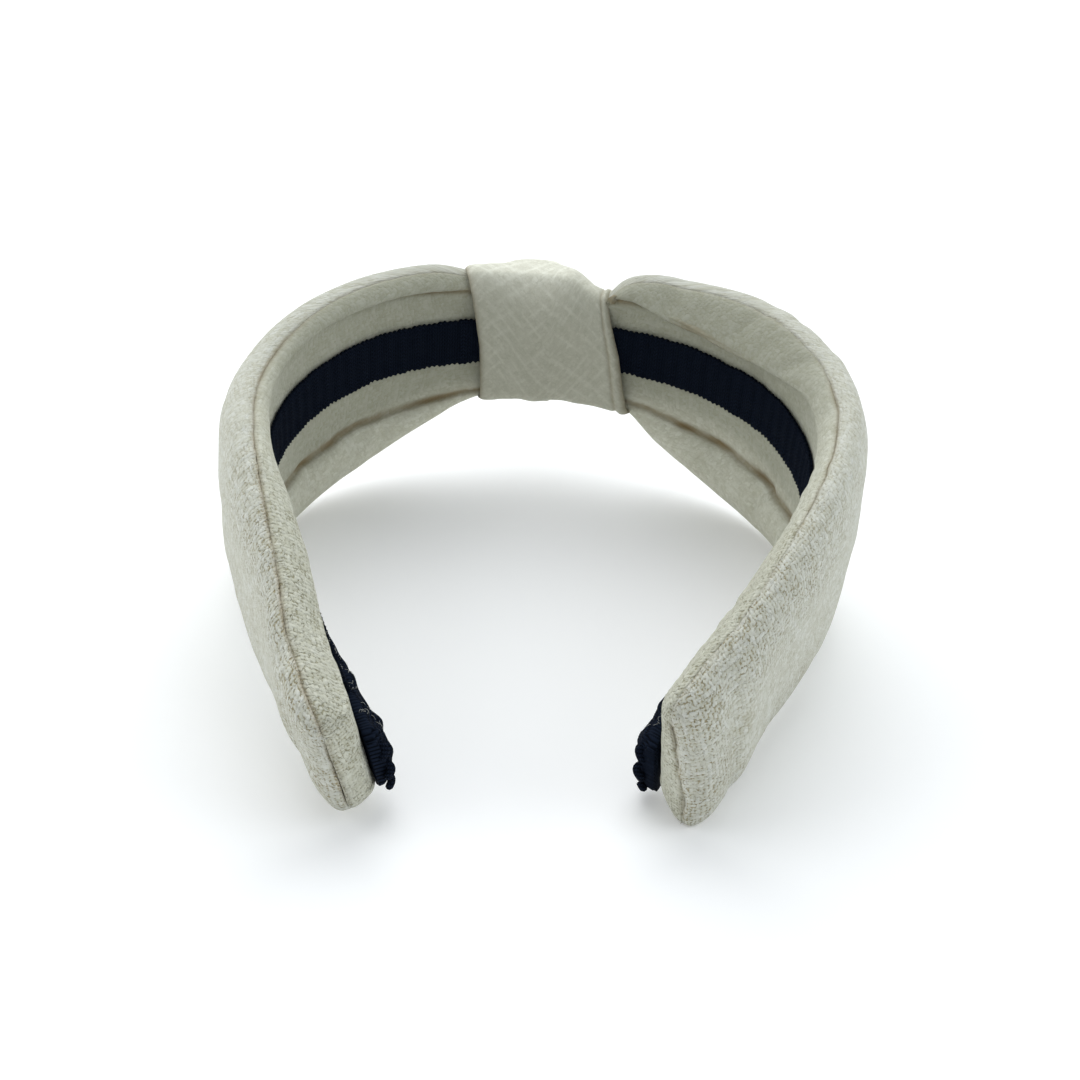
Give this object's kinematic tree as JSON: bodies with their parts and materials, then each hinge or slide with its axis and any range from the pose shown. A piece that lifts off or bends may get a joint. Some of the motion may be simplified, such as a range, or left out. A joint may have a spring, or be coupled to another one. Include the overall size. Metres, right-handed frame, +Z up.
{
  "type": "knotted headband",
  "caption": "Padded hard headband in slubby woven fabric, with a wrapped turban knot at the crown and a knitted grip ribbon inside.",
  "frame": {"origin": "centre of the bounding box, at the surface the headband lies on", "axes": "+Z up with the headband lying on its lower edge, +Y from the tips towards the knot, +X towards the right arm as seen from the tips"},
  "size_m": [0.1373, 0.1572, 0.0609],
  "materials": {
    "woven_cover": "slubby cream basket weave",
    "woven_lining": "slubby cream basket weave",
    "woven_wrap": "the same weave cut on the bias",
    "navy_knit": "ribbed knit with scalloped edges",
    "seam_thread": "fine brownish sewing thread",
    "foam": "soft foam",
    "wadding": "soft fibre wadding",
    "spring_core": "matte"
  },
  "bodies": {
    "crown": {"spring_core_crown": "spring_core", "foam_pad_crown": "foam", "inner_wadding_crown": "wadding", "cover_panel_crown": "woven_cover", "lining_panel_crown": "woven_lining", "seam_thread_top_crown": "seam_thread", "seam_thread_bottom_crown": "seam_thread", "grip_ribbon_crown": "navy_knit", "knot_filling": "wadding", "knot_wrap": "woven_wrap"},
    "left_arm": {"spring_core_left_arm": "spring_core", "foam_pad_left_arm": "foam", "inner_wadding_left_arm": "wadding", "cover_panel_left_arm": "woven_cover", "lining_panel_left_arm": "woven_lining", "seam_thread_top_left_arm": "seam_thread", "seam_thread_bottom_left_arm": "seam_thread", "end_seam_left_arm": "seam_thread", "grip_ribbon_left_arm": "navy_knit", "ribbon_end_fold_left_arm": "navy_knit"},
    "right_arm": {"spring_core_right_arm": "spring_core", "foam_pad_right_arm": "foam", "inner_wadding_right_arm": "wadding", "cover_panel_right_arm": "woven_cover", "lining_panel_right_arm": "woven_lining", "seam_thread_top_right_arm": "seam_thread", "seam_thread_bottom_right_arm": "seam_thread", "end_seam_right_arm": "seam_thread", "grip_ribbon_right_arm": "navy_knit", "ribbon_end_fold_right_arm": "navy_knit"}
  },
  "joints": [
    {"name": "left_arm_flex", "type": "hinge", "parent": "crown", "child": "left_arm", "pos_m": [-0.05657, 0.04489, 0.0343], "axis": [0, 0.1547, -0.988], "range_deg": [-3, 16], "stiffness_Nm_per_rad": 1.2},
    {"name": "right_arm_flex", "type": "hinge", "parent": "crown", "child": "right_arm", "pos_m": [0.05655, 0.04489, 0.0343], "axis": [0, -0.1547, 0.988], "range_deg": [-3, 16], "stiffness_Nm_per_rad": 1.2}
  ]
}
